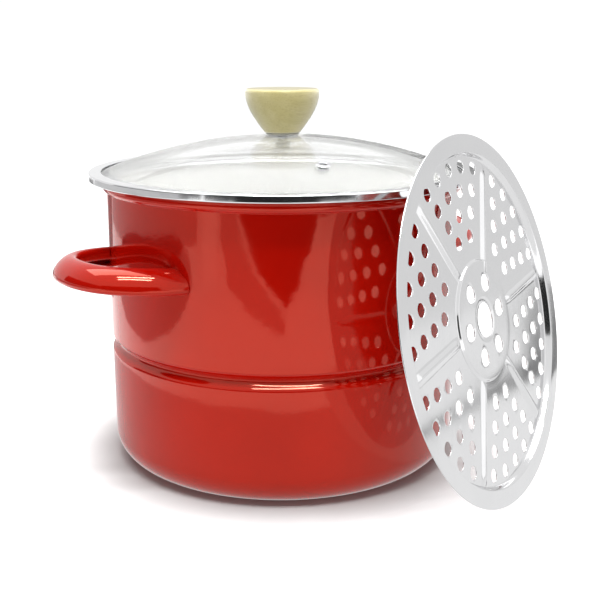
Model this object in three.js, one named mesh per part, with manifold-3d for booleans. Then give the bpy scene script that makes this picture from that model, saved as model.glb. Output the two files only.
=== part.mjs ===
// An enamelled steel casserole pot with a glass lid, and its steamer plate leaning on the lid's rim.
// Millimetres and degrees. The origin is the middle of the pot's base, +Z is up, the handles lie along X.

import * as THREE from 'three';
import { mergeVertices } from 'three/addons/utils/BufferGeometryUtils.js';
import Module from 'manifold-3d';

const wasm = await Module();
wasm.setup();

// Pot body
const POT_RADIUS = 120;
const POT_HEIGHT = 193.5;
const POT_WALL = 1.5;
const BASE_CORNER = 19;
const LEDGE_Z = 83;
const LEDGE_TALL = 12;
const LEDGE_DEPTH = 4;
const RIM_ROLL_TALL = 7;
const RIM_ROLL_OUT = 3;

// Loop handles, each of sheet rolled to a leaning oval with an open seam underneath
const HANDLE_Z = 142.5;
const HANDLE_TILT = 4;
const HANDLE_REACH = 46;
const HANDLE_SPAN = 107;
const HANDLE_WIDE = 19.5;
const HANDLE_DEEP = 10.5;
const HANDLE_ROLL = 38;
const HANDLE_SHEET = 1.5;
const HANDLE_SEAM = 8;
const HANDLE_SQUARENESS = 2.3;
const HANDLE_BURIED = 8;

// Lid: domed glass in a crimped steel band that sits on the pot's rolled rim
const LID_OVERHANG = 8.5;
const BAND_SHEET = 0.6;
const BAND_FLANGE = 8.5;
const BAND_ROUND = 0.6;
const LIP_DEPTH = 3;
const LIP_CLEARANCE = 2;
const GLASS = 3.2;
const DOME_RISE = 23.5;
const DOME_MARGIN = 1;

// Steam vent eyelet in the glass
const VENT_DISTANCE = 86;
const VENT_AZIMUTH = -109.3;
const VENT_BORE = 2;
const VENT_BARREL = 3.2;
const VENT_FLANGE = 5.3;
const VENT_FOOT = 4.6;
const VENT_SHEET = 0.8;

// Wooden knob and what fastens it through the glass
const KNOB_TOP_RADIUS = 25.3;
const KNOB_BASE_RADIUS = 12.2;
const KNOB_HEIGHT = 29.3;
const KNOB_ROUND = 1.5;
const SEAT_THICK = 1;
const SEAT_INSET = 1;
const SCREW_RADIUS = 2.5;
const SCREW_CLEARANCE = 0.8;
const SCREW_HEAD_RADIUS = 4.8;
const SCREW_HEAD_TALL = 3.2;
const SCREW_CHAMFER = 0.8;
const SLOT_WIDTH = 1.2;
const SLOT_DEPTH = 1.5;
const INSERT_WALL = 1.4;
const INSERT_LENGTH = 16;
const SCREW_SHORT_OF_INSERT = 2;
const GASKET_RADIUS = 10;
const GASKET_THICK = 1;
const WASHER_RADIUS = 8;
const WASHER_THICK = 1;

// Steamer plate: dished sheet that drops onto the pot's ledge in use
const PLATE_CLEARANCE = 1.5;
const PLATE_SHEET = 0.8;
const PLATE_RING = 11;
const PLATE_DISH = 4;
const PLATE_STEP_RUN = 3;
const PLATE_AZIMUTH = -69.4;
const PLATE_LEAN = 13.25;
const PLATE_SIDESTEP = -3;
const PLATE_TURN = 67;
const BOSS_RADIUS = 37;
const BOSS_RISE = 1.5;
const BOSS_RUN = 2;
const RIB_COUNT = 6;
const RIB_WIDTH = 7;
const RIB_END_GAP = 1;
const CENTRE_HOLE_RADIUS = 11;
const INNER_HOLE_RADIUS = 5.5;
const INNER_HOLE_DISTANCE = 24;
const STEAM_HOLE_RADIUS = 4.25;
const ROW_INSET = 6;
const ROW_PITCH = 14.5;
const ROW_COUNTS = [5, 4, 3, 2];
const HOLE_SPACING = 18;

// Clearance between pieces that touch, and the facets of round pieces
const FIT = 0.3;
const LARGE_SIDES = 48;
const SMALL_SIDES = 20;
const HOLE_SIDES = 8;

// Heights and radii that follow from the driving dimensions
const mouthRadius = POT_RADIUS - POT_WALL;
const lidRadius = POT_RADIUS + RIM_ROLL_OUT + LID_OVERHANG;
const lidBottom = POT_HEIGHT + FIT;
const glassBottom = lidBottom + BAND_SHEET + FIT;
const glassTop = glassBottom + GLASS;
const bandTop = glassTop + FIT + BAND_SHEET;
const flangeInner = lidRadius - BAND_FLANGE;
const domeFoot = flangeInner - DOME_MARGIN;
const domeRadius = (domeFoot ** 2 + DOME_RISE ** 2) / (2 * DOME_RISE);
const screwHole = SCREW_RADIUS + SCREW_CLEARANCE;
const seatBottom = domeHeight(0) + FIT;
const seatTop = seatBottom + SEAT_THICK;
const seatRadius = KNOB_BASE_RADIUS - SEAT_INSET;
const knobBase = seatTop + FIT;
const insertBore = SCREW_RADIUS + FIT;
const insertRadius = insertBore + INSERT_WALL;
const insertTop = knobBase + INSERT_LENGTH;
const gasketTop = domeHeight(GASKET_RADIUS) - GLASS - FIT;
const gasketBottom = gasketTop - GASKET_THICK;
const washerTop = gasketBottom - FIT;
const washerBottom = washerTop - WASHER_THICK;
const headTop = washerBottom - FIT;
const plateRadius = mouthRadius - PLATE_CLEARANCE;
const lean = THREE.MathUtils.degToRad(PLATE_LEAN);

// Height of the dome's upper face at a distance from the lid's axis
function domeHeight(distance) {
  return glassTop + DOME_RISE - domeRadius + Math.sqrt(domeRadius ** 2 - distance ** 2);
}

// A turned piece about Z from its [radius, height] outline, which runs up its outside
function turned(outline, sides) {
  const points = outline.map(([radius, height]) => new THREE.Vector2(radius, height));
  const geometry = new THREE.LatheGeometry(points, sides);
  geometry.rotateX(Math.PI / 2);
  return geometry;
}

function turnedRing(outline, sides) {
  return turned([...outline, outline[0]], sides);
}

function flatRing(inner, outer, bottom, top) {
  return turnedRing([[inner, bottom], [outer, bottom], [outer, top], [inner, top]], SMALL_SIDES);
}

function cylinder(radius, bottom, top, sides) {
  return turned([[0, bottom], [radius, bottom], [radius, top], [0, top]], sides);
}

// Points of an ellipse's arc in an outline, from one angle to another
function arcPoints([radius, height], [wide, tall], from, to, steps) {
  return Array.from({ length: steps + 1 }, (_, i) => {
    const angle = THREE.MathUtils.degToRad(from + ((to - from) * i) / steps);
    return [radius + wide * Math.cos(angle), height + tall * Math.sin(angle)];
  });
}

function solidOf(geometry) {
  const bare = geometry.clone();
  bare.deleteAttribute('normal');
  bare.deleteAttribute('uv');
  const merged = mergeVertices(bare, 1e-4);
  const vertProperties = new Float32Array(merged.attributes.position.array);
  const triVerts = new Uint32Array(merged.index.array);
  return new wasm.Manifold(new wasm.Mesh({ numProp: 3, vertProperties, triVerts }));
}

function geometryOf(solid) {
  const { vertProperties, triVerts } = solid.getMesh();
  const geometry = new THREE.BufferGeometry();
  geometry.setAttribute('position', new THREE.BufferAttribute(new Float32Array(vertProperties), 3));
  geometry.setIndex(new THREE.BufferAttribute(new Uint32Array(triVerts), 1));
  geometry.computeVertexNormals();
  return geometry;
}

// Pot body: base, corner, wall with its pressed-in ledge bead, and the rolled rim
function ledgePoints(wallRadius) {
  const steps = 6;
  return Array.from({ length: steps + 1 }, (_, i) => {
    const along = i / steps - 0.5;
    const dip = (LEDGE_DEPTH * (1 + Math.cos(2 * Math.PI * along))) / 2;
    return [wallRadius - dip, LEDGE_Z + LEDGE_TALL * along];
  });
}

function potBody() {
  const cornerCentre = [POT_RADIUS - BASE_CORNER, BASE_CORNER];
  const innerCorner = BASE_CORNER - POT_WALL;
  const rollMiddle = POT_HEIGHT - RIM_ROLL_TALL / 2;
  const cornerSteps = 4;
  const rollSteps = 6;
  const outline = [
    [0, 0],
    ...arcPoints(cornerCentre, [BASE_CORNER, BASE_CORNER], -90, 0, cornerSteps),
    ...ledgePoints(POT_RADIUS),
    ...arcPoints([POT_RADIUS, rollMiddle], [RIM_ROLL_OUT, RIM_ROLL_TALL / 2], -90, 90, rollSteps),
    [mouthRadius, POT_HEIGHT - POT_WALL],
    ...ledgePoints(mouthRadius).reverse(),
    ...arcPoints(cornerCentre, [innerCorner, innerCorner], 0, -90, cornerSteps),
    [0, POT_WALL],
  ];
  return turned(outline, LARGE_SIDES);
}

// Handle: the rolled oval swept round a flat loop, tilted up about its roots and cut to the curve of the wall
const handleRoll = THREE.MathUtils.degToRad(HANDLE_ROLL);
const handleThick = Math.hypot(
  HANDLE_WIDE * Math.cos(handleRoll),
  HANDLE_DEEP * Math.sin(handleRoll),
);
const handleHalfWidth = (HANDLE_SPAN - handleThick) / 2;
const handleRoot = Math.sqrt(POT_RADIUS ** 2 - handleHalfWidth ** 2);

class HandleLoop extends THREE.Curve {
  getPoint(t, target = new THREE.Vector3()) {
    const reach = POT_RADIUS + HANDLE_REACH - handleThick / 2 - handleRoot;
    const angle = Math.PI * t;
    const power = 2 / HANDLE_SQUARENESS;
    const across = -Math.sign(Math.cos(angle)) * Math.abs(Math.cos(angle)) ** power;
    const out = Math.max(Math.sin(angle), 0) ** power;
    return target.set((reach + HANDLE_BURIED) * out - HANDLE_BURIED, handleHalfWidth * across, 0);
  }
}

function handle() {
  const half = [HANDLE_DEEP / 2, HANDLE_WIDE / 2];
  const hollow = half.map((size) => size - HANDLE_SHEET);
  const seam = Math.asin(HANDLE_SEAM / HANDLE_WIDE);
  const section = new THREE.Shape();
  section.absellipse(0, 0, ...half, seam, -seam, false, handleRoll);
  section.absellipse(0, 0, ...hollow, -seam, seam, true, handleRoll);
  const loop = new THREE.ExtrudeGeometry(section, {
    steps: 22,
    curveSegments: 6,
    bevelEnabled: false,
    extrudePath: new HandleLoop(),
  });
  loop.rotateY(-THREE.MathUtils.degToRad(HANDLE_TILT));
  loop.translate(handleRoot, 0, HANDLE_Z);
  const wallBottom = HANDLE_Z - 2 * HANDLE_WIDE;
  const wallTop = HANDLE_Z + 2 * HANDLE_WIDE;
  const wall = cylinder(POT_RADIUS + FIT, wallBottom, wallTop, LARGE_SIDES);
  return geometryOf(solidOf(loop).subtract(solidOf(wall)));
}

// Lid band: a channel round the glass edge, a seat on the rim and a lip inside the mouth
function lidBand() {
  const lipOuter = mouthRadius - LIP_CLEARANCE;
  const lipInner = lipOuter - BAND_SHEET;
  const channel = lidRadius - BAND_SHEET;
  return turnedRing([
    [lipInner, lidBottom - LIP_DEPTH],
    [lipOuter, lidBottom - LIP_DEPTH],
    [lipOuter, lidBottom],
    [lidRadius - BAND_ROUND, lidBottom],
    [lidRadius, lidBottom + BAND_ROUND],
    [lidRadius, bandTop - BAND_ROUND],
    [lidRadius - BAND_ROUND, bandTop],
    [flangeInner, bandTop],
    [flangeInner, bandTop - BAND_SHEET],
    [channel, bandTop - BAND_SHEET],
    [channel, lidBottom + BAND_SHEET],
    [lipInner, lidBottom + BAND_SHEET],
  ], LARGE_SIDES);
}

// The vent stands square to the dome at its place
function placeVent(object) {
  const tilt = Math.asin(VENT_DISTANCE / domeRadius);
  const azimuth = THREE.MathUtils.degToRad(VENT_AZIMUTH);
  object.rotation.set(0, tilt, azimuth, 'ZYX');
  object.position.set(
    VENT_DISTANCE * Math.cos(azimuth),
    VENT_DISTANCE * Math.sin(azimuth),
    domeHeight(VENT_DISTANCE),
  );
  object.updateMatrix();
  return object;
}

function lidGlass() {
  const steps = 6;
  const dome = Array.from({ length: steps + 1 }, (_, i) => {
    const distance = domeFoot + ((screwHole - domeFoot) * i) / steps;
    return [distance, domeHeight(distance)];
  });
  const underside = dome.map(([distance, height]) => [distance, height - GLASS]).reverse();
  const glassEdge = lidRadius - BAND_SHEET - FIT;
  const edge = [[glassEdge, glassBottom], [glassEdge, glassTop]];
  const blank = turnedRing([...underside, ...edge, ...dome], LARGE_SIDES);
  const ventHole = cylinder(VENT_BARREL + FIT, -2 * GLASS, GLASS, SMALL_SIDES);
  ventHole.applyMatrix4(placeVent(new THREE.Object3D()).matrix);
  return geometryOf(solidOf(blank).subtract(solidOf(ventHole)));
}

function steamVent() {
  const footTop = -GLASS - FIT;
  return turnedRing([
    [VENT_BORE, footTop - VENT_SHEET],
    [VENT_FOOT, footTop - VENT_SHEET],
    [VENT_FOOT, footTop],
    [VENT_BARREL, footTop],
    [VENT_BARREL, FIT],
    [VENT_FLANGE, FIT],
    [VENT_FLANGE - VENT_SHEET, FIT + VENT_SHEET],
    [VENT_BORE, FIT + VENT_SHEET],
  ], SMALL_SIDES);
}

// Knob: a bowl shape that widens upwards, bored from below for its insert
function knob() {
  const bore = insertRadius + FIT;
  const boreTop = insertTop + FIT;
  const knobTop = knobBase + KNOB_HEIGHT;
  const swell = KNOB_TOP_RADIUS - KNOB_BASE_RADIUS;
  const steps = 7;
  const side = Array.from({ length: steps + 1 }, (_, i) => {
    const share = i / steps;
    const height = knobBase + share * (KNOB_HEIGHT - KNOB_ROUND);
    return [KNOB_BASE_RADIUS + swell * Math.sin((share * Math.PI) / 2), height];
  });
  return turned([
    [0, boreTop],
    [bore, boreTop],
    [bore, knobBase],
    ...side,
    [KNOB_TOP_RADIUS - KNOB_ROUND, knobTop],
    [0, knobTop],
  ], SMALL_SIDES);
}

function knobScrew() {
  const headBottom = headTop - SCREW_HEAD_TALL;
  const tip = insertTop - SCREW_SHORT_OF_INSERT;
  const screw = turned([
    [0, headBottom],
    [SCREW_HEAD_RADIUS - SCREW_CHAMFER, headBottom],
    [SCREW_HEAD_RADIUS, headBottom + SCREW_CHAMFER],
    [SCREW_HEAD_RADIUS, headTop],
    [SCREW_RADIUS, headTop],
    [SCREW_RADIUS, tip - SCREW_CHAMFER],
    [SCREW_RADIUS - SCREW_CHAMFER, tip],
    [0, tip],
  ], SMALL_SIDES);
  const slot = new THREE.BoxGeometry(4 * SCREW_HEAD_RADIUS, SLOT_WIDTH, 2 * SLOT_DEPTH);
  slot.translate(0, 0, headBottom);
  return geometryOf(solidOf(screw).subtract(solidOf(slot)));
}

// Steamer plate, made flat with its outer ring's front face at z = 0
const discFront = -PLATE_DISH;
const ringInner = plateRadius - PLATE_RING;
const discRadius = ringInner - PLATE_STEP_RUN;

// A radial bead's half-oval bar, with its flat underside at a height
function ribBar(from, to, angle, underside) {
  const profile = new THREE.Shape();
  profile.moveTo(-RIB_WIDTH / 2, 0);
  profile.absellipse(0, 0, RIB_WIDTH / 2, BOSS_RISE, Math.PI, 0, true);
  const bar = new THREE.ExtrudeGeometry(profile, {
    depth: to - from,
    curveSegments: 6,
    bevelEnabled: false,
  });
  bar.rotateX(Math.PI / 2);
  bar.translate(0, to, underside);
  bar.rotateZ(angle - Math.PI / 2);
  return solidOf(bar);
}

function holeAt(radius, distance, angle) {
  const hole = cylinder(radius, -2 * PLATE_DISH, PLATE_DISH, HOLE_SIDES);
  hole.translate(distance * Math.cos(angle), distance * Math.sin(angle), 0);
  return solidOf(hole);
}

function steamerPlate() {
  const front = [
    [plateRadius, 0],
    [ringInner, 0],
    [discRadius, discFront],
    [BOSS_RADIUS + BOSS_RUN, discFront],
    [BOSS_RADIUS, discFront + BOSS_RISE],
    [CENTRE_HOLE_RADIUS, discFront + BOSS_RISE],
  ];
  const back = front.map(([radius, height]) => [radius, height - PLATE_SHEET]).reverse();
  const sector = (2 * Math.PI) / RIB_COUNT;
  let plate = solidOf(turnedRing([...back, ...front], LARGE_SIDES));
  for (let i = 0; i < RIB_COUNT; i += 1) {
    const rib = THREE.MathUtils.degToRad(PLATE_TURN) + i * sector;
    const ribFrom = BOSS_RADIUS + RIB_END_GAP;
    const ribTo = discRadius - RIB_END_GAP;
    const ribFoot = discFront - PLATE_SHEET / 2;
    plate = plate.add(ribBar(ribFrom, ribTo, rib, ribFoot));
    plate = plate.subtract(ribBar(ribFrom + BOSS_RUN, ribTo - BOSS_RUN, rib, ribFoot - PLATE_SHEET));
    plate = plate.subtract(holeAt(INNER_HOLE_RADIUS, INNER_HOLE_DISTANCE, rib));
    ROW_COUNTS.forEach((count, row) => {
      const distance = discRadius - ROW_INSET - row * ROW_PITCH;
      for (let k = 0; k < count; k += 1) {
        const offset = ((k - (count - 1) / 2) * HOLE_SPACING) / distance;
        plate = plate.subtract(holeAt(STEAM_HOLE_RADIUS, distance, rib + sector / 2 + offset));
      }
    });
  }
  return geometryOf(plate);
}

// The plate stands on the floor and leans back on the outer edge of the lid's band. The edge meets
// the disc, the step or the ring, whichever of them is at its height
function placePlate(object) {
  const azimuth = THREE.MathUtils.degToRad(PLATE_AZIMUTH);
  const outward = new THREE.Vector3(Math.cos(azimuth), Math.sin(azimuth), 0);
  const across = new THREE.Vector3(-Math.sin(azimuth), Math.cos(azimuth), 0);
  const normal = outward.clone().multiplyScalar(Math.cos(lean)).setZ(Math.sin(lean));
  const upward = outward.clone().multiplyScalar(-Math.sin(lean)).setZ(Math.cos(lean));
  const touch = Math.max(
    lidRadius * Math.cos(lean) + (bandTop - BAND_ROUND) * Math.sin(lean),
    (lidRadius - BAND_ROUND) * Math.cos(lean) + bandTop * Math.sin(lean),
  );
  const height = plateRadius * Math.cos(lean) + PLATE_SHEET * Math.sin(lean);
  const level = (bandTop - height) / Math.cos(lean) + (PLATE_SHEET + FIT) * Math.tan(lean);
  const stepReach = PLATE_STEP_RUN + PLATE_DISH * Math.tan(lean);
  const setBack = PLATE_DISH * THREE.MathUtils.clamp((ringInner - level) / stepReach, 0, 1);
  const ringFront = touch + FIT + PLATE_SHEET + setBack;
  const distance = (ringFront - height * Math.sin(lean)) / Math.cos(lean);
  object.setRotationFromMatrix(new THREE.Matrix4().makeBasis(across, upward, normal));
  object.position.copy(outward).multiplyScalar(distance).setZ(height);
  object.position.addScaledVector(across, PLATE_SIDESTEP);
  return object;
}

function piece(name, geometry, color, roughness, metalness) {
  const mesh = new THREE.Mesh(geometry, new THREE.MeshStandardMaterial({ color, roughness, metalness }));
  mesh.name = name;
  return mesh;
}

const RED_ENAMEL = [0xb5140c, 0.12, 0];
const POLISHED_STEEL = [0xd2d3d5, 0.18, 1];
const SCREW_STEEL = [0xa9abae, 0.35, 1];
const CLEAR_GLASS = [0xe6efec, 0.04, 0];
const PALE_WOOD = [0xd0b885, 0.55, 0];
const BRASS = [0xb8994f, 0.35, 1];
const SILICONE = [0xd9d6cf, 0.6, 0];

const handleRight = piece('handle_right', handle(), ...RED_ENAMEL);
const handleLeft = piece('handle_left', handle(), ...RED_ENAMEL);
handleLeft.rotation.z = Math.PI;

const lid = new THREE.Group();
lid.add(
  piece('lid_band', lidBand(), ...POLISHED_STEEL),
  piece('lid_glass', lidGlass(), ...CLEAR_GLASS),
  placeVent(piece('steam_vent', steamVent(), ...POLISHED_STEEL)),
  piece('knob', knob(), ...PALE_WOOD),
  piece('knob_insert', flatRing(insertBore, insertRadius, knobBase, insertTop), ...BRASS),
  piece('knob_seat', flatRing(screwHole, seatRadius, seatBottom, seatTop), ...SILICONE),
  piece('glass_gasket', flatRing(screwHole, GASKET_RADIUS, gasketBottom, gasketTop), ...SILICONE),
  piece('screw_washer', flatRing(screwHole, WASHER_RADIUS, washerBottom, washerTop), ...SCREW_STEEL),
  piece('knob_screw', knobScrew(), ...SCREW_STEEL),
);

const casserole = new THREE.Group();
casserole.add(
  piece('pot_body', potBody(), ...RED_ENAMEL),
  handleLeft,
  handleRight,
  lid,
  placePlate(piece('steamer_plate', steamerPlate(), ...POLISHED_STEEL)),
);

export default casserole;
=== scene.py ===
import math

import bpy
from mathutils import Matrix, Vector


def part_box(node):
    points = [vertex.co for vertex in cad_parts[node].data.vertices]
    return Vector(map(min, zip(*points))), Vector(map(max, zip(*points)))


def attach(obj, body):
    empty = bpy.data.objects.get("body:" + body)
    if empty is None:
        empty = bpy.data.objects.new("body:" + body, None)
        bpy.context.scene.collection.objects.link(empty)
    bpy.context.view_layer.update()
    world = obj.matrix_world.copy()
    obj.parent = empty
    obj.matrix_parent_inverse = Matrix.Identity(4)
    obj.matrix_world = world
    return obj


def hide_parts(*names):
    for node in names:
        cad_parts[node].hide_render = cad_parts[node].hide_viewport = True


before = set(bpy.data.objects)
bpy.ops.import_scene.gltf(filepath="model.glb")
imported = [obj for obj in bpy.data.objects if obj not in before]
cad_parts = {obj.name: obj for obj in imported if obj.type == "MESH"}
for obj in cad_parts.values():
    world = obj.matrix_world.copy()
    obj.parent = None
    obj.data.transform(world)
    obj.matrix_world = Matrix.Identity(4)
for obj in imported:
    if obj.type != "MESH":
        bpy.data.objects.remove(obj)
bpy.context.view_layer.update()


# Pot body: a deep vessel drawn from one steel sheet, with a bead pressed in all round as a ledge for the
# steamer plate and its rim rolled outwards. Fired glass enamel covers it, glossy red outside, white inside.
pot_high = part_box("pot_body")[1]
pot_height = pot_high.z
rim_roll_out = 0.003
rim_roll_tall = 0.007
rim_fillet = 0.0005
wall_radius = pot_high.x - rim_roll_out
wall_thick = 0.0015
mouth_radius = wall_radius - wall_thick
base_corner = 0.019
ledge_height = 0.083
ledge_tall = 0.012
ledge_depth = 0.004
ledge_steps = 24
pot_sides = 144
crease_angle = math.radians(35)
weld_distance = 0.00001
enamel_red = (0.40, 0.0037, 0.0006, 1)
enamel_deep_red = (0.35, 0.0027, 0.0005, 1)
enamel_edge_red = (0.12, 0.0015, 0.0010, 1)
enamel_gloss = (1.0, 0.32, 0.22, 1)
enamel_white = (0.72, 0.717, 0.705, 1)
enamel_cream = (0.68, 0.673, 0.655, 1)
thin_enamel_below = 0.0002
full_enamel_above = 0.0016


def arc(centre, radius, start, end, steps, stretch=1):
    """Points round a circle or a tall oval in the outline plane, from one angle in degrees to another."""
    turns = [math.radians(start + (end - start) * i / steps) for i in range(steps + 1)]
    tall = stretch * radius
    return [(centre[0] + radius * math.cos(turn), centre[1] + tall * math.sin(turn)) for turn in turns]


def pick(*pieces):
    """Selects these pieces and nothing else, and makes the first one active."""
    bpy.ops.object.select_all(action="DESELECT")
    for piece in pieces:
        piece.select_set(True)
    bpy.context.view_layer.objects.active = pieces[0]


def smooth(piece):
    """Smooth shading that keeps sharp corners, and keeps flat faces flat beside their small round edges."""
    pick(piece)
    bpy.ops.object.shade_smooth_by_angle(angle=crease_angle)
    bpy.ops.object.modifier_add(type="WEIGHTED_NORMAL")
    bpy.ops.object.modifier_apply(modifier=piece.modifiers[-1].name)


def weld():
    """Merges the doubled points of the mesh that is being edited."""
    bpy.ops.mesh.select_all(action="SELECT")
    bpy.ops.mesh.remove_doubles(threshold=weld_distance)


def turned(name, outline, sides):
    """Draws a (radius, height) outline point by point and spins it round Z into a smooth piece."""
    bpy.ops.object.select_all(action="DESELECT")
    bpy.ops.mesh.primitive_plane_add()
    piece = bpy.context.object
    piece.name = name
    bpy.ops.object.mode_set(mode="EDIT")
    bpy.ops.mesh.merge(type="CENTER")
    bpy.ops.transform.translate(value=(outline[0][0], 0, outline[0][1]))
    for here, there in zip(outline, outline[1:]):
        step = (there[0] - here[0], 0, there[1] - here[1])
        bpy.ops.mesh.extrude_region_move(TRANSFORM_OT_translate={"value": step})
    bpy.ops.mesh.select_all(action="SELECT")
    bpy.ops.mesh.spin(steps=sides, angle=2 * math.pi, center=(0, 0, 0), axis=(0, 0, 1))
    weld()
    bpy.ops.mesh.normals_make_consistent(inside=False)
    bpy.ops.object.mode_set(mode="OBJECT")
    smooth(piece)
    return piece


class Shade:
    """A socket in a material's nodes. Arithmetic on it adds Math nodes, and node() adds any other."""

    def __init__(self, tree, socket=None):
        self.tree = tree
        self.socket = socket

    def node(self, kind, settings, sockets, output=0):
        made = self.tree.nodes.new(kind)
        for name, value in settings.items():
            setattr(made, name, value)
        for name, value in sockets.items():
            if isinstance(value, Shade):
                self.tree.links.new(value.socket, made.inputs[name])
            else:
                made.inputs[name].default_value = value
        return Shade(self.tree, made.outputs[output])

    def math(self, operation, first, second):
        return self.node("ShaderNodeMath", {"operation": operation}, {0: first, 1: second})

    def __add__(self, other):
        return self.math("ADD", self, other)

    __radd__ = __add__

    def __rsub__(self, other):
        return self.math("SUBTRACT", other, self)

    def __mul__(self, other):
        return self.math("MULTIPLY", self, other)

    __rmul__ = __mul__

    def between(self, low, high):
        """0 below low, 1 above high and a smooth rise from one to the other."""
        sockets = {"Value": self, "From Min": low, "From Max": high}
        return self.node("ShaderNodeMapRange", {"interpolation_type": "SMOOTHSTEP"}, sockets)

    def mixed(self, first, second):
        """The first colour where this is 0 and the second where it is 1."""
        sockets = {0: self, 6: first, 7: second}
        return self.node("ShaderNodeMix", {"data_type": "RGBA"}, sockets, output=2)


def new_material(name, **constants):
    """A material with its even values set, its Principled shader, and its Object coordinates."""
    material = bpy.data.materials.new(name)
    material.use_nodes = True
    shader = material.node_tree.nodes["Principled BSDF"]
    for socket, value in constants.items():
        shader.inputs[socket.replace("_", " ")].default_value = value
    place = Shade(material.node_tree).node("ShaderNodeTexCoord", {}, {}, output="Object")
    return material, shader, place


def noise(place, scale, detail=2):
    return place.node("ShaderNodeTexNoise", {}, {"Vector": place, "Scale": scale, "Detail": detail})


def scaled(place, factors):
    return place.node("ShaderNodeVectorMath", {"operation": "MULTIPLY"}, {0: place, 1: factors})


def axis_of(place, axis):
    return place.node("ShaderNodeSeparateXYZ", {}, {0: place}, output=axis)


def feed(node, socket, value):
    node.id_data.links.new(value.socket, node.inputs[socket])


def feed_bump(shader, relief, depth):
    feed(shader, "Normal", relief.node("ShaderNodeBump", {}, {"Height": relief, "Distance": depth}))


def ledge(radius):
    """Outline of the pressed bead on a wall face of this radius, going up."""
    shares = [i / ledge_steps - 0.5 for i in range(ledge_steps + 1)]
    dips = [ledge_depth * (1 + math.cos(2 * math.pi * share)) / 2 for share in shares]
    return [(radius - dip, ledge_height + ledge_tall * share) for dip, share in zip(dips, shares)]


corner_centre = (wall_radius - base_corner, base_corner)
fillet_centre = (wall_radius + rim_fillet, pot_height - rim_roll_tall - rim_fillet)
roll_centre = (wall_radius, pot_height - rim_roll_tall / 2)
roll_stretch = rim_roll_tall / 2 / rim_roll_out
pot_outline = [
    (0, 0),
    *arc(corner_centre, base_corner, -90, 0, 12),
    *ledge(wall_radius),
    *arc(fillet_centre, rim_fillet, 180, 90, 4),
    *arc(roll_centre, rim_roll_out, -80, 90, 18, roll_stretch),
    *arc((wall_radius, pot_height - wall_thick), wall_thick, 90, 180, 5),
    *reversed(ledge(mouth_radius)),
    *arc(corner_centre, base_corner - wall_thick, 0, -90, 12),
    (0, wall_thick),
]
pot = turned("pot", pot_outline, pot_sides)

red_enamel, shader, place = new_material(
    "red_enamel", IOR=1.7, Specular_IOR_Level=0.7, Specular_Tint=enamel_gloss
)
mottle = noise(place, scale=9, detail=3).between(0.35, 0.65)
specks = noise(place, scale=900, detail=1).between(0.70, 0.78)
thin_foot = 1 - axis_of(place, "Z").between(thin_enamel_below, full_enamel_above)
mottled_red = mottle.mixed(enamel_red, enamel_deep_red)
specked_red = (0.25 * specks).mixed(mottled_red, enamel_edge_red)
feed(shader, "Base Color", thin_foot.mixed(specked_red, enamel_edge_red))
feed(shader, "Roughness", 0.05 + 0.03 * noise(place, scale=30, detail=4) + 0.3 * thin_foot)
orange_peel = noise(place, scale=240)
ripples = noise(place, scale=60)
long_waves = noise(place, scale=26, detail=1)
feed_bump(shader, 0.04 * orange_peel + 0.1 * ripples + long_waves, depth=0.0004)

white_enamel, shader, place = new_material("white_enamel", IOR=1.5)
cloud = noise(place, scale=14, detail=3).between(0.3, 0.7)
feed(shader, "Base Color", cloud.mixed(enamel_white, enamel_cream))
feed(shader, "Roughness", 0.12 + 0.05 * noise(place, scale=40, detail=3))
feed_bump(shader, noise(place, scale=260), depth=0.00002)

pot.data.materials.append(red_enamel)
pot.data.materials.append(white_enamel)
facing = 0.5
for face in pot.data.polygons:
    outward = Vector((face.center.x, face.center.y, 0)).normalized()
    faces_in = face.normal.dot(outward) < -facing
    above_base = wall_thick / 2 < face.center.z < ledge_height - ledge_tall
    faces_up_inside = above_base and face.normal.z > facing
    face.material_index = int(faces_in or faces_up_inside)
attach(pot, "pot")
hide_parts("pot_body")


# Loop handles: each a steel strip rolled into a leaning hollow oval with an open seam underneath, bent into
# a flat loop, tilted up a little, welded to the wall by its two ends and enamelled with the pot.
handle_low, handle_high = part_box("handle_right")
handle_span = handle_high.y - handle_low.y
handle_wide = 0.0190
handle_deep = 0.0105
handle_sheet = 0.0015
handle_seam = 0.008
handle_roll = math.radians(46)
handle_tilt = math.radians(4)
handle_height = 0.1425
handle_reach = 0.046
handle_squareness = 2.3
handle_buried = 0.008
handle_sunk = 0.0004
handle_steps = 96
section_steps = 20
handle_thick = math.hypot(handle_wide * math.cos(handle_roll), handle_deep * math.sin(handle_roll))
loop_half = (handle_span - handle_thick) / 2
loop_root = math.sqrt(wall_radius**2 - loop_half**2)
loop_reach = wall_radius + handle_reach - handle_thick / 2 - loop_root


def curve_through(name, points, closed):
    """A curve of straight steps through these points."""
    curve = bpy.data.curves.new(name, "CURVE")
    curve.dimensions = "3D"
    curve.twist_mode = "Z_UP"
    spline = curve.splines.new("POLY")
    spline.points.add(len(points) - 1)
    for knot, point in zip(spline.points, points):
        knot.co = (*point, 1)
    spline.use_cyclic_u = closed
    made = bpy.data.objects.new(name, curve)
    bpy.context.collection.objects.link(made)
    return made


def oval(inset, start, end):
    """Part of the strip's rolled oval, this far inside its outer skin, as (inward, up) points."""
    points = []
    for i in range(section_steps + 1):
        turn = start + (end - start) * i / section_steps
        deep = (handle_deep / 2 - inset) * math.cos(turn)
        wide = (handle_wide / 2 - inset) * math.sin(turn)
        inward = deep * math.sin(handle_roll) + wide * math.cos(handle_roll)
        up = -deep * math.cos(handle_roll) + wide * math.sin(handle_roll)
        points.append((inward, up, 0))
    return points


def loop_point(turn):
    """The loop's middle line, from one root round to the other."""
    power = 2 / handle_squareness
    across = math.copysign(abs(math.cos(turn)) ** power, math.cos(turn))
    out = max(math.sin(turn), 0) ** power
    return ((loop_reach + handle_buried) * out - handle_buried, loop_half * across, 0)


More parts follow.
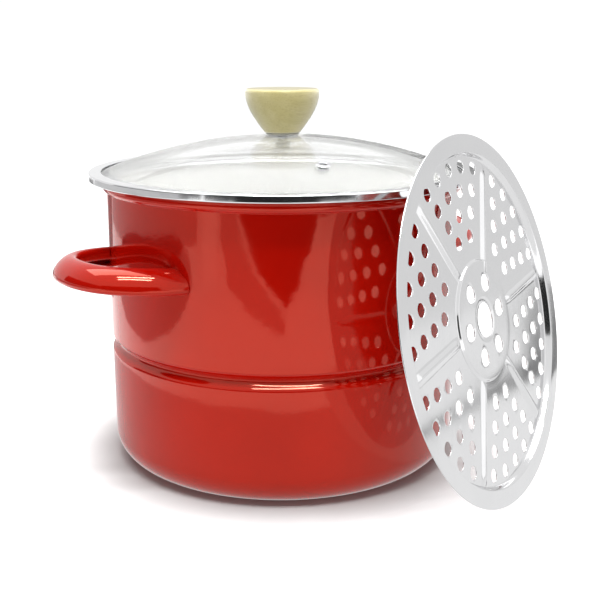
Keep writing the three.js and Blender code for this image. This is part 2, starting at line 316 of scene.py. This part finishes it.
def put(piece, matrix):
    """Moves a piece and leaves its place in its mesh."""
    pick(piece)
    piece.matrix_world = matrix
    bpy.ops.object.transform_apply()


def cut(piece, cutter):
    """Takes the cutter's shape out of a piece, cleans the new edges and deletes the cutter."""
    pick(piece)
    boolean = piece.modifiers.new("cut", "BOOLEAN")
    boolean.operation = "DIFFERENCE"
    boolean.solver = "EXACT"
    boolean.object = cutter
    bpy.ops.object.modifier_apply(modifier="cut")
    bpy.data.objects.remove(cutter)
    bpy.ops.object.mode_set(mode="EDIT")
    weld()
    bpy.ops.mesh.dissolve_degenerate(threshold=weld_distance)
    bpy.ops.object.mode_set(mode="OBJECT")
    smooth(piece)


def rod(name, radius, low, high, sides):
    """A plain round bar to cut with."""
    return turned(name, [(0, low), (radius, low), (radius, high), (0, high)], sides)


def copy_of(piece):
    """A copy of a piece with its own mesh."""
    pick(piece)
    bpy.ops.object.duplicate()
    return bpy.context.object


seam_start = math.asin(handle_seam / handle_wide)
seam_end = 2 * math.pi - seam_start
section_points = oval(0, seam_start, seam_end) + oval(handle_sheet, seam_end, seam_start)
section = curve_through("handle_section", section_points, closed=True)
path_points = [loop_point(math.pi * i / handle_steps) for i in range(handle_steps + 1)]
handle_right = curve_through("handle_right_loop", path_points, closed=False)
handle_right.data.bevel_mode = "OBJECT"
handle_right.data.bevel_object = section
handle_right.data.use_fill_caps = True
pick(handle_right)
bpy.ops.object.convert(target="MESH")
bpy.data.objects.remove(section)
handle_root = Matrix.Translation((loop_root, 0, handle_height))
put(handle_right, handle_root @ Matrix.Rotation(-handle_tilt, 4, "Y"))
bpy.ops.object.mode_set(mode="EDIT")
weld()
bpy.ops.mesh.normals_make_consistent(inside=False)
bpy.ops.object.mode_set(mode="OBJECT")
cutter_low = handle_height - 2 * handle_wide
cutter_high = handle_height + 2 * handle_wide
cut(handle_right, rod("wall_cutter", wall_radius - handle_sunk, cutter_low, cutter_high, pot_sides))
handle_right.data.materials.clear()
handle_right.data.materials.append(red_enamel)
handle_left = copy_of(handle_right)
handle_left.name = "handle_left_loop"
put(handle_left, Matrix.Rotation(math.pi, 4, "Z"))
for handle, node in ((handle_right, "handle_right"), (handle_left, "handle_left")):
    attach(handle, "pot")
    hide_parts(node)


# Lid band: thin stainless strip rolled to a channel that is crimped round the edge of the glass. It sits on
# the pot's rim, and a lip folded down from it keeps the lid in the mouth. Polished on the lathe.
band_low, band_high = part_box("lid_band")
lid_radius = band_high.x
band_top = band_high.z
band_sheet = 0.0006
band_flange = 0.0085
band_bend = 0.0009
lip_depth = 0.003
lip_clearance = 0.002
lid_bottom = band_low.z + lip_depth
lip_radius = mouth_radius - lip_clearance
flange_inner = lid_radius - band_flange
polished_grey = (0.76, 0.76, 0.77, 1)
polished_dark_grey = (0.62, 0.62, 0.64, 1)

inner_bend = band_bend - band_sheet
bend_bottom = (lid_radius - band_bend, lid_bottom + band_bend)
bend_top = (lid_radius - band_bend, band_top - band_bend)
hem = (flange_inner + band_sheet / 2, band_top - band_sheet / 2)
band_outline = [
    (lip_radius - band_sheet, lid_bottom - lip_depth),
    (lip_radius, lid_bottom - lip_depth),
    (lip_radius, lid_bottom),
    *arc(bend_bottom, band_bend, -90, 0, 6),
    *arc(bend_top, band_bend, 0, 90, 6),
    *arc(hem, band_sheet / 2, 90, 270, 6),
    *arc(bend_top, inner_bend, 90, 0, 4),
    *arc(bend_bottom, inner_bend, 0, -90, 4),
    (lip_radius - band_sheet, lid_bottom + band_sheet),
    (lip_radius - band_sheet, lid_bottom - lip_depth),
]
band = turned("band", band_outline, pot_sides)


def length_of(place):
    return place.node("ShaderNodeVectorMath", {"operation": "LENGTH"}, {0: place}, output="Value")


def lathe_place(place):
    """The distance from the lid's axis and the height, so that a pattern runs round the piece."""
    sockets = {"X": length_of(scaled(place, (1, 1, 0))), "Z": axis_of(place, "Z")}
    return place.node("ShaderNodeCombineXYZ", {}, sockets)


polished_steel, shader, place = new_material("polished_steel", Metallic=1.0)
lathe_marks = noise(lathe_place(place), scale=4000)
smudge = noise(place, scale=35, detail=4).between(0.4, 0.7)
feed(shader, "Base Color", (0.5 * lathe_marks + 0.3 * smudge).mixed(polished_grey, polished_dark_grey))
feed(shader, "Roughness", 0.06 + 0.06 * lathe_marks + 0.06 * smudge)
feed_bump(shader, lathe_marks, depth=0.000004)
band.data.materials.append(polished_steel)
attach(band, "lid")
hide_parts("lid_band")


# Lid glass: a disc of clear tempered glass sagged into a shallow dome, with a flat edge held in the band
# and two drilled holes, one in the middle for the knob's screw and one off it for the steam vent.
glass_low, glass_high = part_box("lid_glass")
glass_radius = glass_high.x
glass_thick = 0.0032
glass_bottom = glass_low.z
glass_top = glass_bottom + glass_thick
dome_margin = 0.001
dome_foot = flange_inner - dome_margin
dome_rise = 0.0235
dome_ball = (dome_foot**2 + dome_rise**2) / (2 * dome_rise)
dome_steps = 32
screw_hole = 0.0033
vent_distance = 0.086
vent_azimuth = math.radians(-109.3)
vent_barrel = 0.0032
vent_room = 0.0003
vent_sides = 48
glass_tint = (0.985, 0.995, 0.99, 1)
glass_shadow_tint = (0.88, 0.89, 0.885, 1)


def dome_height(distance):
    """Height of the glass's upper face at a distance from the lid's axis."""
    return glass_top + dome_rise - dome_ball + math.sqrt(dome_ball**2 - distance**2)


def round_axis(distance, turn, height=0):
    """The point at this distance and angle round the Z axis, and at this height."""
    return Vector((distance * math.cos(turn), distance * math.sin(turn), height))


dome_distances = [screw_hole + (dome_foot - screw_hole) * i / dome_steps for i in range(dome_steps + 1)]
dome_upper = [(distance, dome_height(distance)) for distance in dome_distances]
dome_under = [(distance, level - glass_thick) for distance, level in reversed(dome_upper)]
edge_middle = (glass_radius - glass_thick / 2, glass_bottom + glass_thick / 2)
glass_edge = arc(edge_middle, glass_thick / 2, 90, -90, 8)
glass = turned("glass", [*dome_upper, *glass_edge, *dome_under, dome_upper[0]], pot_sides)

vent_tilt = math.asin(vent_distance / dome_ball)
vent_place = (
    Matrix.Translation(round_axis(vent_distance, vent_azimuth, dome_height(vent_distance)))
    @ Matrix.Rotation(vent_azimuth, 4, "Z")
    @ Matrix.Rotation(vent_tilt, 4, "Y")
)
vent_drill = rod("vent_drill", vent_barrel + vent_room, -2 * glass_thick, glass_thick, vent_sides)
put(vent_drill, vent_place)
cut(glass, vent_drill)

clear_glass, shader, place = new_material(
    "clear_glass", Base_Color=glass_tint, IOR=1.45, Transmission_Weight=1.0, Alpha=0.6
)
finger_marks = noise(place, scale=24, detail=5).between(0.52, 0.75)
feed(shader, "Roughness", 0.02 * finger_marks)
feed_bump(shader, noise(place, scale=18, detail=1), depth=0.00006)
let_lamps_through = place.node("ShaderNodeLightPath", {}, {}, output="Is Shadow Ray")
lamp_tint = place.node("ShaderNodeBsdfTransparent", {}, {"Color": glass_shadow_tint})
glass_shader = Shade(shader.id_data, shader.outputs[0])
seen_glass = place.node("ShaderNodeMixShader", {}, {0: let_lamps_through, 1: glass_shader, 2: lamp_tint})
feed(shader.id_data.nodes["Material Output"], "Surface", seen_glass)
glass.data.materials.append(clear_glass)
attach(glass, "lid")
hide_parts("lid_glass")


# Steam vent: a stainless eyelet pushed through its hole in the glass from above and flared out below, so
# that steam leaves by its bore and not by the rim.
vent_bore = 0.002
vent_flange = 0.0053
vent_foot = 0.0046
vent_sheet = 0.0008
foot_top = -glass_thick - vent_room
foot_edge = (vent_foot - vent_sheet / 2, foot_top - vent_sheet / 2)
vent_outline = [
    (vent_bore, foot_top - vent_sheet),
    *arc(foot_edge, vent_sheet / 2, -90, 90, 6),
    (vent_barrel, foot_top),
    (vent_barrel, vent_room),
    (vent_flange - vent_sheet / 2, vent_room),
    *arc((vent_flange - vent_sheet, vent_room), vent_sheet, 0, 90, 6),
    *arc((vent_bore + vent_sheet, vent_room), vent_sheet, 90, 180, 6),
    (vent_bore, foot_top - vent_sheet),
]
vent = turned("vent", vent_outline, vent_sides)
put(vent, vent_place)
vent.data.materials.append(polished_steel)
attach(vent, "lid")
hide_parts("steam_vent")


# Knob: turned from pale close-grained hardwood, narrow at the foot and wide at the flat top, sanded and
# rubbed with a thin matt lacquer. It is bored from below for its threaded insert.
knob_low, knob_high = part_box("knob")
knob_base = knob_low.z
knob_tall = knob_high.z - knob_low.z
knob_top_radius = 0.0253
knob_base_radius = 0.0122
knob_round = 0.0022
knob_bore = 0.0045
knob_bore_tall = 0.0163
knob_sides = 96
side_steps = 24
wood_pale = (0.60, 0.53, 0.235, 1)
wood_grain = (0.50, 0.425, 0.14, 1)
wood_fibre = (0.36, 0.28, 0.085, 1)

side_tall = knob_tall - knob_round
knob_side = []
for i in range(side_steps + 1):
    share = i / side_steps
    swell = (knob_top_radius - knob_base_radius) * math.sin(share * math.pi / 2)
    knob_side.append((knob_base_radius + swell, knob_base + side_tall * share))
knob_outline = [
    (0, knob_base + knob_bore_tall),
    (knob_bore, knob_base + knob_bore_tall),
    (knob_bore, knob_base),
    *knob_side,
    *arc((knob_top_radius - knob_round, knob_base + side_tall), knob_round, 0, 90, 8),
    (0, knob_base + knob_tall),
]
knob = turned("knob_turning", knob_outline, knob_sides)

pale_wood, shader, place = new_material("pale_wood", IOR=1.5, Sheen_Weight=1.0)
rings = noise(scaled(place, (8, 120, 120)), scale=1.2, detail=3).between(0.3, 0.7)
fibres = noise(scaled(place, (60, 1400, 1400)), scale=1).between(0.45, 0.75)
flecks = noise(scaled(place, (150, 900, 900)), scale=1, detail=1).between(0.66, 0.74)
wood_body = (0.55 * rings).mixed(wood_pale, wood_grain)
feed(shader, "Base Color", (0.35 * fibres + 0.3 * flecks).mixed(wood_body, wood_fibre))
feed(shader, "Roughness", 0.42 + 0.15 * fibres)
feed_bump(shader, fibres + flecks, depth=0.00003)
knob.data.materials.append(pale_wood)
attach(knob, "lid")
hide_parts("knob")


# Knob insert: a brass bush with an inside thread, pressed into the knob's bore. Nothing shows of it but its
# lower end, so it stays as the frame has it, in plain turned brass.
brass_light = (0.62, 0.45, 0.17, 1)
brass_dark = (0.44, 0.29, 0.09, 1)
turned_brass, shader, place = new_material("turned_brass", Metallic=1.0)
cutting_marks = noise(scaled(place, (30, 30, 2200)), scale=1)
feed(shader, "Base Color", cutting_marks.mixed(brass_light, brass_dark))
feed(shader, "Roughness", 0.25 + 0.15 * cutting_marks)
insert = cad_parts["knob_insert"]
insert.data.materials.clear()
insert.data.materials.append(turned_brass)


# Knob seat and glass gasket: two soft silicone rings, one above the glass and one below it, so that no wood
# or metal bears on the glass when the screw is tightened.
silicone_pale = (0.66, 0.65, 0.61, 1)
silicone_dull = (0.55, 0.54, 0.50, 1)
ring_round = 0.0003
ring_sides = 64


def flat_ring(name, node, inner):
    """A flat ring in the place of a frame node, with its four edges rounded."""
    low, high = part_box(node)
    outline = [
        *arc((high.x - ring_round, low.z + ring_round), ring_round, -90, 0, 4),
        *arc((high.x - ring_round, high.z - ring_round), ring_round, 0, 90, 4),
        *arc((inner + ring_round, high.z - ring_round), ring_round, 90, 180, 4),
        *arc((inner + ring_round, low.z + ring_round), ring_round, 180, 270, 4),
        (high.x - ring_round, low.z),
    ]
    ring = turned(name, outline, ring_sides)
    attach(ring, "lid")
    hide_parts(node)
    return ring


soft_silicone, shader, place = new_material("soft_silicone", IOR=1.42)
dust = noise(place, scale=300, detail=4).between(0.4, 0.7)
feed(shader, "Base Color", dust.mixed(silicone_pale, silicone_dull))
feed(shader, "Roughness", 0.5 + 0.2 * dust)
feed_bump(shader, noise(place, scale=2500), depth=0.00001)
for name, node in (("seat_ring", "knob_seat"), ("gasket_ring", "glass_gasket")):
    ring = flat_ring(name, node, screw_hole)
    ring.data.materials.append(soft_silicone)


# Washer and screw: a plain steel washer under the gasket, and a slotted machine screw that goes up through
# it and the glass into the knob's insert. Both are bright turned steel.
screw_low, screw_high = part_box("knob_screw")
screw_radius = 0.0025
head_radius = screw_high.x
head_tall = 0.0032
head_round = 0.0009
screw_chamfer = 0.0008
screw_sides = 48
slot_width = 0.0012
slot_depth = 0.0015
steel_light = (0.58, 0.59, 0.60, 1)
steel_dark = (0.42, 0.43, 0.44, 1)

bright_steel, shader, place = new_material("bright_steel", Metallic=1.0)
tool_marks = noise(lathe_place(place), scale=3000)
feed(shader, "Base Color", tool_marks.mixed(steel_light, steel_dark))
feed(shader, "Roughness", 0.2 + 0.15 * tool_marks)
feed_bump(shader, tool_marks, depth=0.000006)
washer = flat_ring("washer_ring", "screw_washer", screw_hole)
washer.data.materials.append(bright_steel)

head_top = screw_low.z + head_tall
screw_outline = [
    (0, screw_low.z),
    *arc((head_radius - head_round, screw_low.z + head_round), head_round, -90, 0, 6),
    (head_radius, head_top),
    (screw_radius, head_top),
    (screw_radius, screw_high.z - screw_chamfer),
    (screw_radius - screw_chamfer, screw_high.z),
    (0, screw_high.z),
]
screw = turned("slotted_screw", screw_outline, screw_sides)
bpy.ops.object.select_all(action="DESELECT")
bpy.ops.mesh.primitive_cube_add(size=1, location=(0, 0, screw_low.z))
slot_cutter = bpy.context.object
slot_cutter.scale = (4 * head_radius, slot_width, 2 * slot_depth)
bpy.ops.object.transform_apply()
cut(screw, slot_cutter)
screw.data.materials.append(bright_steel)
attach(screw, "lid")
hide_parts("knob_screw")


# Steamer plate: a disc of bright rolled stainless sheet, pressed into a dish with a flat outer ring, a
# raised middle and six radial ribs, and punched with rows of steam holes. It leans on the lid's band.
plate_room = 0.0015
plate_radius = mouth_radius - plate_room
plate_sheet = 0.0008
plate_ring = 0.011
plate_dish = 0.004
plate_step = 0.003
boss_radius = 0.037
boss_rise = 0.0015
boss_run = 0.002
boss_margin = 0.006
rib_count = 6
rib_rise = 0.0014
rib_half = 0.0042
rib_end_gap = 0.004
rib_middle = 0.0002
centre_hole = 0.011
centre_margin = 0.004
centre_start = 0.002
inner_hole = 0.0055
inner_hole_distance = 0.024
steam_hole = 0.00425
row_inset = 0.006
row_pitch = 0.0145
row_counts = (5, 4, 3, 2)
hole_spacing = 0.018
hole_flare = 0.0003
punch_sides = 28
plate_sides = 504
plate_azimuth = math.radians(-69.4)
plate_lean = math.radians(13.25)
plate_turn = math.radians(67)
plate_out = 0.15655
plate_side = -0.003
plate_grey = (0.71, 0.71, 0.715, 1)
plate_dull_grey = (0.64, 0.64, 0.65, 1)

ring_inner = plate_radius - plate_ring
disc_radius = ring_inner - plate_step
disc_front = -plate_dish
boss_front = disc_front + boss_rise


def smooth_step(start, end, steps):
    """An S-shaped outline from one (radius, height) point to another, level at both ends."""
    points = []
    for i in range(steps + 1):
        share = i / steps
        rise = share * share * (3 - 2 * share)
        points.append((start[0] + (end[0] - start[0]) * share, start[1] + (end[1] - start[1]) * rise))
    return points


disc_steps = 16
disc_inner = boss_radius + boss_run
disc_run = [
    (disc_radius + (disc_inner - disc_radius) * i / disc_steps, disc_front) for i in range(1, disc_steps)
]
boss_rings = [
    boss_radius - boss_margin,
    inner_hole_distance,
    centre_hole + centre_margin,
    centre_hole - centre_start,
]
plate_front = [
    (plate_radius - plate_sheet / 2, 0),
    (ring_inner + plate_ring / 2, 0),
    *smooth_step((ring_inner, 0), (disc_radius, disc_front), 10),
    *disc_run,
    *smooth_step((disc_inner, disc_front), (boss_radius, boss_front), 6),
    *[(radius, boss_front) for radius in boss_rings],
]
plate_back = [(radius, level - plate_sheet) for radius, level in reversed(plate_front)]
plate_edge = arc((plate_radius - plate_sheet / 2, -plate_sheet / 2), plate_sheet / 2, -90, 90, 6)
plate = turned("plate_sheet", [*plate_front, *plate_back, *plate_edge], plate_sides)

bpy.ops.object.mode_set(mode="EDIT")
bpy.ops.mesh.select_mode(type="VERT")
bpy.ops.mesh.select_all(action="DESELECT")
bpy.ops.object.mode_set(mode="OBJECT")
sector = 2 * math.pi / rib_count
for vertex in plate.data.vertices:
    distance = math.hypot(vertex.co.x, vertex.co.y)
    turn = math.atan2(vertex.co.y, vertex.co.x)
    off_rib = abs(turn - round(turn / sector) * sector) * distance
    along_rib = disc_inner < distance < disc_radius - rib_end_gap
    vertex.select = along_rib and off_rib < rib_middle
bpy.ops.object.mode_set(mode="EDIT")
bpy.ops.transform.translate(
    value=(0, 0, rib_rise),
    use_proportional_edit=True,
    proportional_edit_falloff="SMOOTH",
    proportional_size=rib_half,
)
bpy.ops.object.mode_set(mode="OBJECT")


def punch(radius, front):
    """A round punch for a hole in the sheet, flared where the sheet's two faces round off into it."""
    back = front - plate_sheet
    outer = radius + hole_flare + plate_sheet
    outline = [
        (0, back - plate_sheet),
        (outer, back - plate_sheet),
        (radius, back + hole_flare),
        (radius, front - hole_flare),
        (outer, front + plate_sheet),
        (0, front + plate_sheet),
    ]
    return turned("punch", outline, punch_sides)


def repeated(piece, places):
    """A piece and its copies, one at each of these places, joined into one."""
    made = [piece] + [copy_of(piece) for _ in places[1:]]
    for copy, place in zip(made, places):
        copy.location = place
    pick(*made)
    bpy.ops.object.join()
    bpy.ops.object.transform_apply()
    return piece


steam_places = []
for i in range(rib_count):
    for row, count in enumerate(row_counts):
        distance = disc_radius - row_inset - row * row_pitch
        for k in range(count):
            offset = (k - (count - 1) / 2) * hole_spacing / distance
            steam_places.append(round_axis(distance, (i + 0.5) * sector + offset))
inner_places = [round_axis(inner_hole_distance, i * sector) for i in range(rib_count)]
cut(plate, repeated(punch(steam_hole, disc_front), steam_places))
cut(plate, repeated(punch(inner_hole, boss_front), inner_places))
cut(plate, punch(centre_hole, boss_front))

upright = Vector((0, 0, 1))
out = round_axis(1, plate_azimuth)
across = upright.cross(out)
plate_normal = out * math.cos(plate_lean) + upright * math.sin(plate_lean)
plate_up = upright * math.cos(plate_lean) - out * math.sin(plate_lean)
plate_height = plate_radius * math.cos(plate_lean) + plate_sheet * math.sin(plate_lean)
plate_basis = Matrix((across, plate_up, plate_normal)).transposed().to_4x4()
plate_centre = out * plate_out + across * plate_side + upright * plate_height
plate_place = Matrix.Translation(plate_centre) @ plate_basis @ Matrix.Rotation(plate_turn, 4, "Z")
put(plate, plate_place)

rolled_steel, shader, place = new_material("rolled_steel", Metallic=1.0)
flat_place = place.node(
    "ShaderNodeMapping",
    {"vector_type": "TEXTURE"},
    {"Vector": place, "Location": plate_centre, "Rotation": plate_place.to_euler()},
)
rolling_marks = noise(scaled(flat_place, (25, 1600, 25)), scale=1, detail=3)
haze = noise(flat_place, scale=22, detail=4).between(0.35, 0.7)
feed(shader, "Base Color", (0.5 * rolling_marks + 0.3 * haze).mixed(plate_grey, plate_dull_grey))
feed(shader, "Roughness", 0.07 + 0.05 * rolling_marks + 0.05 * haze)
feed_bump(shader, rolling_marks, depth=0.000003)
plate.data.materials.append(rolled_steel)
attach(plate, "plate")
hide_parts("steamer_plate")


# Studio: a pale floor whose glow is painted light. It rises away from the pot and washes out the floor's
# shadow beyond a narrow ring at the foot. There are also a white surround and three soft boxes. Glowing
# cards that only reflections see are painted reflections of the dark end of the room, the bench's edge and
# the lit floor.
# The camera stands where the photograph's did.
floor_radius = 6.0
floor_sides = 96
# Strength of the floor's painted light, and the distances from the pot's axis where it starts and where it
# is full.
floor_painted_light = 0.85
painted_light_starts = 0.110
painted_light_full = 0.165
sky_strength = 1.03
fill_strength = 0.34
card_fade = 0.9
oval_steps = 32
camera_azimuth = math.radians(36)
camera_distance = 0.700
camera_height = 0.28223
camera_yaw = math.radians(0.985)
camera_pitch = math.radians(14.232)
photo_width = 600
focal_pixels = 1014.891
sensor_width = 36
to_camera = Vector((-math.sin(camera_azimuth), -math.cos(camera_azimuth), 0))
to_right = Vector((math.cos(camera_azimuth), -math.sin(camera_azimuth), 0))


def grey(level):
    return (level, level, level, 1)


black = grey(0)
white = grey(1)
floor_white = grey(0.50)
floor_grey = grey(0.46)

bpy.ops.object.select_all(action="DESELECT")
bpy.ops.mesh.primitive_circle_add(vertices=floor_sides, radius=floor_radius, fill_type="NGON")
floor = bpy.context.object
floor.name = "floor"
floor_paint_and_painted_light, shader, place = new_material("floor_paint_and_painted_light", Roughness=0.9, Emission_Strength=floor_painted_light)
# Painted light: the floor's glow rises from nothing at the pot's foot to full a little way out. This washes
# out the floor's shadow beyond a narrow ring.
feed(shader, "Emission Color", length_of(place).between(painted_light_starts, painted_light_full).mixed(black, white))
feed(shader, "Base Color", noise(place, scale=60, detail=3).mixed(floor_white, floor_grey))
floor.data.materials.append(floor_paint_and_painted_light)

world = bpy.data.worlds.new("studio")
world.use_nodes = True
tree = Shade(world.node_tree)
seen_sky = tree.node("ShaderNodeBackground", {}, {"Color": white, "Strength": sky_strength})
fill_light = tree.node("ShaderNodeBackground", {}, {"Color": white, "Strength": fill_strength})
lights_paint = tree.node("ShaderNodeLightPath", {}, {}, output="Is Diffuse Ray")
sky = tree.node("ShaderNodeMixShader", {}, {0: lights_paint, 1: seen_sky, 2: fill_light})
feed(world.node_tree.nodes["World Output"], "Surface", sky)
bpy.context.scene.world = world


def card(name, corners, brightness):
    """A flat glowing card on the stage that shows only in reflections: a painted reflection, light or dark
    by its brightness.
    """
    bpy.ops.object.select_all(action="DESELECT")
    bpy.ops.mesh.primitive_circle_add(vertices=len(corners), fill_type="NGON")
    made = bpy.context.object
    made.name = name
    for vertex, corner in zip(made.data.vertices, corners):
        vertex.co = corner
    paint, shader, place = new_material(
        name + "_paint", Base_Color=black, Roughness=1.0, Specular_IOR_Level=0, Emission_Strength=1.0
    )
    # Painted reflection: the card glows at its brightness, a little uneven, and only reflections see it.
    glow = noise(place, scale=8).mixed(grey(brightness), grey(card_fade * brightness))
    feed(shader, "Emission Color", glow)
    made.data.materials.append(paint)
    made.visible_camera = False
    made.visible_diffuse = False
    made.visible_transmission = False
    made.visible_shadow = False


def on_floor(forward, right, level):
    """A point above the floor, so far towards the camera, so far to its right and so high."""
    return to_camera * forward + to_right * right + upright * level


def oval_corners(middle, half_forward, half_right):
    """The (forward, right) corners of an oval card whose middle lies so far to the right."""
    turns = [2 * math.pi * i / oval_steps for i in range(oval_steps)]
    return [(half_forward * math.cos(turn), middle + half_right * math.sin(turn)) for turn in turns]


room_corners = [
    (0.597, 0.02),
    (1.15, 0.43),
    (0.99, 0.83),
    (4.0, 3.4),
    (7.0, 0.0),
    (4.0, -3.6),
    (0.95, -0.86),
    (1.10, -0.55),
]
right_edge_corners = [(0.585, 0.03), (1.15, 0.43), (1.11, 0.48), (0.56, 0.05)]
left_edge_corners = [(0.585, 0.03), (0.56, 0.02), (1.07, -0.58), (1.10, -0.55)]
half_lit_corners = [(0.50, 0.0), (0.55, 0.02), (1.07, -0.58), (0.96, -0.73), (0.60, -0.36)]
strip_corners = [(0.467, -0.498), (0.542, -0.425), (0.95, -0.765), (0.82, -0.90)]
shade_corners = oval_corners(-0.68, 0.45, 0.265)
hump_corners = oval_corners(-0.80, 0.43, 0.15)
dim_corners = [(0.60, -0.74), (1.5, -1.85), (-2.0, -2.0), (-0.75, -0.70), (-0.03, -0.90)]
near_corners = oval_corners(0, 0.3, 0.3)
wedge_corners = [(0.957, -0.924), (2.158, -2.084), (1.634, -2.516), (0.724, -1.115)]
back_corners = [(-0.37, -0.33), (-1.19, -1.07), (-1.41, -0.75), (-0.44, -0.23)]
bench_corners = [
    (0.25, 0.487),
    (-0.02, 0.487),
    (-0.107, 0.503),
    (-0.2, 0.5),
    (-0.48, 0.82),
    (-0.86, 1.30),
    (-1.05, 1.75),
    (-0.56, 1.08),
    (-0.26, 0.65),
    (-0.17, 0.59),
    (-0.12, 0.561),
    (-0.062, 0.541),
    (0.25, 0.541),
]
right_floor_corners = [(0.35, 0.12), (-0.05, 0.12), (-1.9, 1.9), (-0.6, 2.4), (0.35, 0.9)]

card_level = 0.002
upper_level = 0.003
lower_level = 0.001
lowest_level = 0.0005
# Painted reflections lying on the floor: the name, corners, height and brightness of each glowing card.
floor_cards = [
    ("dark_room", room_corners, card_level, 0.02),
    ("light_right_edge", right_edge_corners, card_level, 1.7),
    ("light_left_edge", left_edge_corners, card_level, 1.6),
    ("half_lit", half_lit_corners, card_level, 0.75),
    ("light_strip", strip_corners, card_level, 1.9),
    ("left_shade", shade_corners, card_level, 0.65),
    ("left_dark", hump_corners, upper_level, 0.1),
    ("left_dim", dim_corners, card_level, 0.75),
    ("near_floor", near_corners, lowest_level, 0.95),
    ("left_wedge", wedge_corners, upper_level, 0.2),
    ("back_shade", back_corners, card_level, 0.3),
    ("bench_edge", bench_corners, card_level, 0.25),
    ("right_floor", right_floor_corners, lower_level, 1.12),
]
for name, corners, level, brightness in floor_cards:
    card(name, [on_floor(forward, right, level) for forward, right in corners], brightness)


def upright_card(name, bearings, distance, tall, brightness):
    """A painted-reflection card that stands on the floor between two bearings from the camera's side,
    turning to the right.
    """
    turns = [math.radians(bearing) for bearing in bearings]
    feet = [on_floor(distance * math.cos(turn), distance * math.sin(turn), card_level) for turn in turns]
    heads = [foot + upright * tall for foot in reversed(feet)]
    card(name, feet + heads, brightness)


# Standing painted reflections: glowing cards that only reflections see.
upright_card("grey_wall", bearings=(107, 142), distance=2.2, tall=0.6, brightness=0.95)
upright_card("bright_side", bearings=(60, 106), distance=2.0, tall=1.0, brightness=1.5)
upright_card("dim_back", bearings=(143, 178), distance=2.2, tall=0.55, brightness=0.3)
upright_card("dark_end", bearings=(-40, 35), distance=2.5, tall=1.2, brightness=0.03)
upright_card("dark_left_end", bearings=(-110, -40), distance=2.5, tall=1.0, brightness=0.06)


pot_middle = Vector((0, 0, pot_height / 2))


def soft_box(name, location, size, power):
    """A rectangular lamp that faces the middle of the pot."""
    lamp = bpy.data.lights.new(name, "AREA")
    lamp.shape = "RECTANGLE"
    lamp.size, lamp.size_y = size
    lamp.energy = power
    box = bpy.data.objects.new(name, lamp)
    box.location = location
    box.rotation_euler = (pot_middle - location).to_track_quat("-Z", "Y").to_euler()
    bpy.context.collection.objects.link(box)


soft_box("upper_key", on_floor(0.45, 0.05, 1.75), size=(0.9, 0.10), power=12)
soft_box("lower_key", on_floor(0.70, 0.05, 1.60), size=(0.9, 0.10), power=12)
soft_box("top_box", on_floor(-0.3, 0, 1.8), size=(2.6, 1.0), power=36)

camera = bpy.data.cameras.new("camera")
camera.sensor_width = sensor_width
camera.lens = focal_pixels / photo_width * sensor_width
viewpoint = bpy.data.objects.new("camera", camera)
viewpoint.location = on_floor(camera_distance, 0, camera_height)
viewpoint.rotation_euler = (math.pi / 2 - camera_pitch, 0, -camera_azimuth - camera_yaw)
bpy.context.collection.objects.link(viewpoint)
bpy.context.scene.camera = viewpoint
bpy.context.scene.view_settings.view_transform = "Standard"
